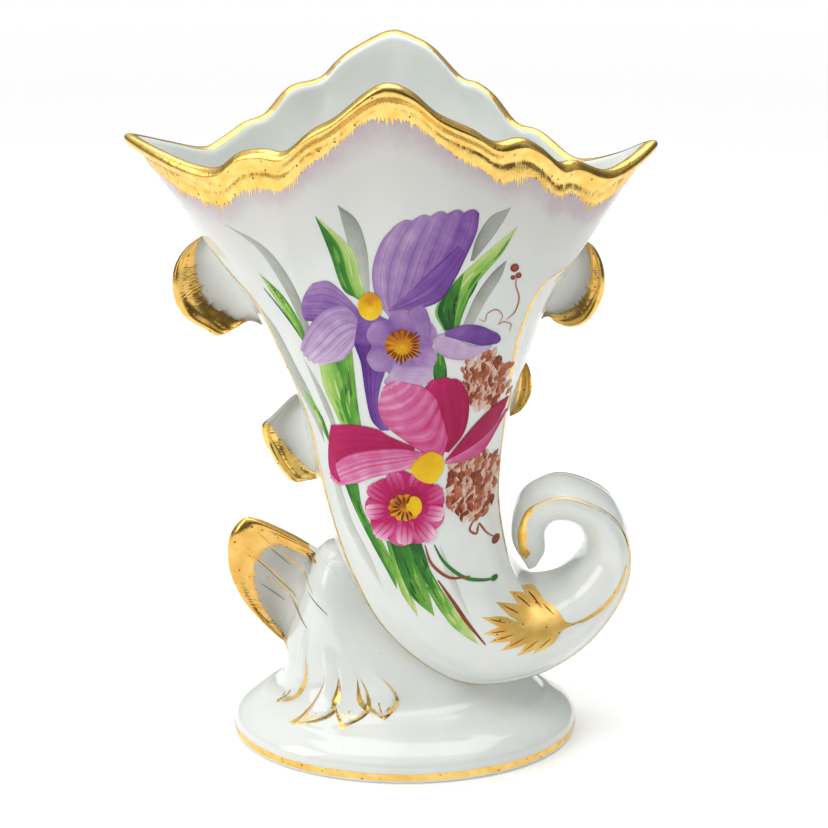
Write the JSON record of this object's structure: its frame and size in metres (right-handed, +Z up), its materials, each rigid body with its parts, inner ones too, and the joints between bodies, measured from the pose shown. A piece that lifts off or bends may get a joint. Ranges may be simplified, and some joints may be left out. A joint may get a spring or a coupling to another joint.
{
  "type": "flower vase",
  "caption": "Cornucopia flower vase in glazed porcelain: a flared, scalloped horn curling into a scroll on an oval foot, with gilded leaves.",
  "frame": {"origin": "on the surface it stands on, below the middle of the mouth's outline", "axes": "+Z up, -Y towards the painted front, +X towards the scroll"},
  "size_m": [0.133, 0.076, 0.185],
  "materials": {
    "white_glaze": "clear gloss glaze over white porcelain",
    "gilded_glaze": "burnished gold fired over the glaze along edges and veins",
    "bright_gold": "thin bright gold brushed on and fired, glossy",
    "flower_enamel": "overglaze enamel colours, glossy, thinner at the brush edges"
  },
  "bodies": {
    "root": {"horn_vessel": "white_glaze", "tail_scroll": "white_glaze", "support_neck": "white_glaze", "foot_plinth": "white_glaze", "leaf_upper_left": "gilded_glaze", "leaf_upper_right": "gilded_glaze", "leaf_middle_left": "gilded_glaze", "leaf_middle_right": "gilded_glaze", "leaf_lower_left": "gilded_glaze", "foot_acanthus_lobe_1": "white_glaze", "foot_acanthus_lobe_2": "white_glaze", "foot_acanthus_lobe_3": "white_glaze", "foot_acanthus_lobe_4": "white_glaze"}
  },
  "joints": []
}
